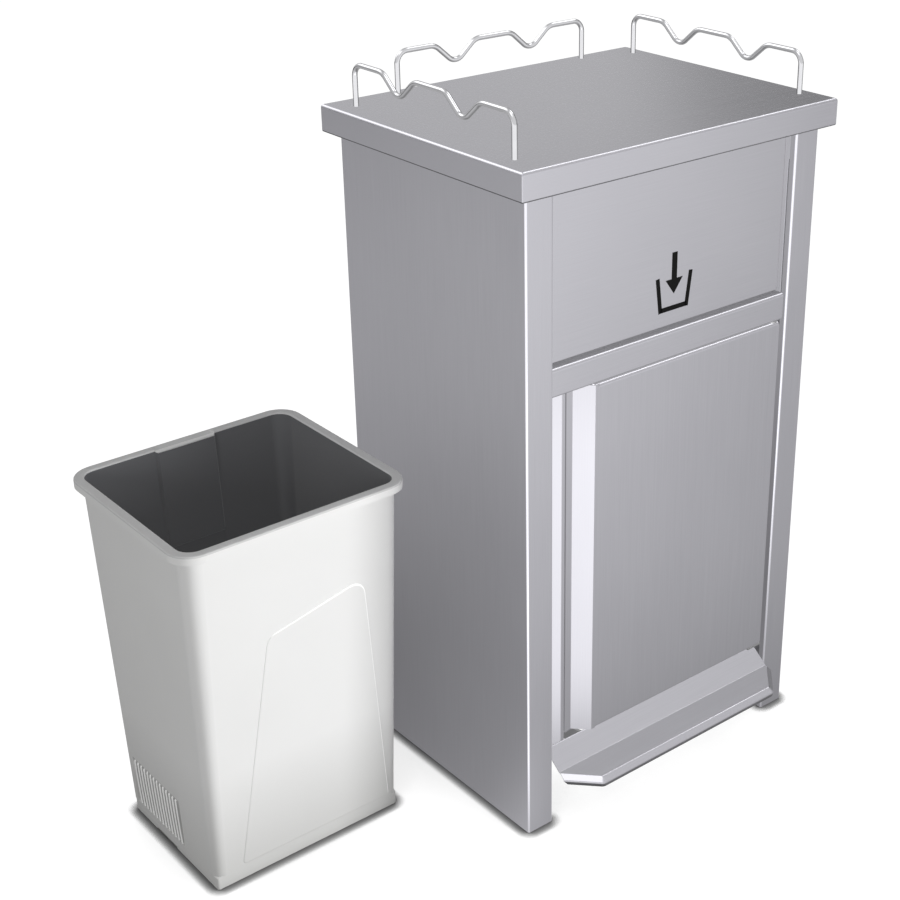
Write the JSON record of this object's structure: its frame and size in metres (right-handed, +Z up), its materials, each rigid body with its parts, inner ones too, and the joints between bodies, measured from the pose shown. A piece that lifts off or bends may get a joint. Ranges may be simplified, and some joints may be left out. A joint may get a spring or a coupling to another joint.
{
  "type": "tray return waste bin",
  "caption": "Steel tray return cabinet with a railed worktop, a pedal-opened waste flap, a hinged door with a folded grip, and a loose plastic bin beside it.",
  "frame": {"origin": "on the floor, under the middle of the box around the cabinet and the loose bin", "axes": "+Z up; the cabinet's front, with its flap, door and pedal, faces -Y; the loose bin stands on the -X side"},
  "size_m": [1.036, 0.5546, 1.1155],
  "materials": {
    "sheet_steel": "satin",
    "rod_steel": "polished",
    "turned_steel": "satin",
    "bush_plastic": "matte",
    "bin_plastic": "satin"
  },
  "bodies": {
    "cabinet": {"worktop": "sheet_steel", "front_header": "sheet_steel", "left_side_panel": "sheet_steel", "right_side_panel": "sheet_steel", "back_panel": "sheet_steel", "base_shelf": "sheet_steel", "left_shelf_angle": "sheet_steel", "right_shelf_angle": "sheet_steel", "cross_rail": "sheet_steel", "door_jamb": "sheet_steel", "left_flap_cheek": "sheet_steel", "right_flap_cheek": "sheet_steel", "left_flap_bush": "bush_plastic", "right_flap_bush": "bush_plastic", "left_tray_rail": "rod_steel", "back_tray_rail": "rod_steel", "right_tray_rail": "rod_steel", "door_top_pin": "turned_steel", "door_bottom_pivot": "turned_steel", "door_catch": "bush_plastic", "left_pedal_bearing": "bush_plastic", "right_pedal_bearing": "bush_plastic"},
    "door": {"door_panel": "sheet_steel"},
    "flap": {"flap_panel": "sheet_steel", "flap_axle": "turned_steel", "flap_crank": "turned_steel"},
    "pedal": {"pedal_plate": "sheet_steel", "pedal_tube": "turned_steel", "left_pedal_arm": "turned_steel", "right_pedal_arm": "turned_steel", "pedal_crank": "turned_steel"},
    "rod": {"pull_rod": "turned_steel"},
    "bin": {"waste_bin": "bin_plastic"}
  },
  "joints": [
    {"name": "door_hinge", "type": "hinge", "parent": "cabinet", "child": "door", "pos_m": [0.4371, -0.1987, 0.41625], "axis": [0, 0, 1], "range_deg": [0, 110]},
    {"name": "pedal_hinge", "type": "hinge", "parent": "cabinet", "child": "pedal", "pos_m": [0.218, -0.09475, 0.075], "axis": [1, 0, 0], "range_deg": [0, 12], "stiffness_Nm_per_rad": 20, "springref_deg": -14.32},
    {"name": "flap_hinge", "type": "hinge", "parent": "cabinet", "child": "flap", "pos_m": [0.218, -0.17178, 1.005], "axis": [1, 0, 0], "range_deg": [0, 50]},
    {"name": "rod_slide", "type": "slide", "parent": "cabinet", "child": "rod", "axis": [0, 0, -1], "range_m": [0, 0.02091]},
    {"name": "bin_lift", "type": "slide", "parent": "cabinet", "child": "bin", "axis": [0, 0, 1], "range_m": [0, 0.65]}
  ],
  "couplings": [
    {"joint": "flap_hinge", "follows": "pedal_hinge", "ratio": 4.1667},
    {"joint": "rod_slide", "follows": "pedal_hinge", "m_per_rad": 0.099817}
  ]
}
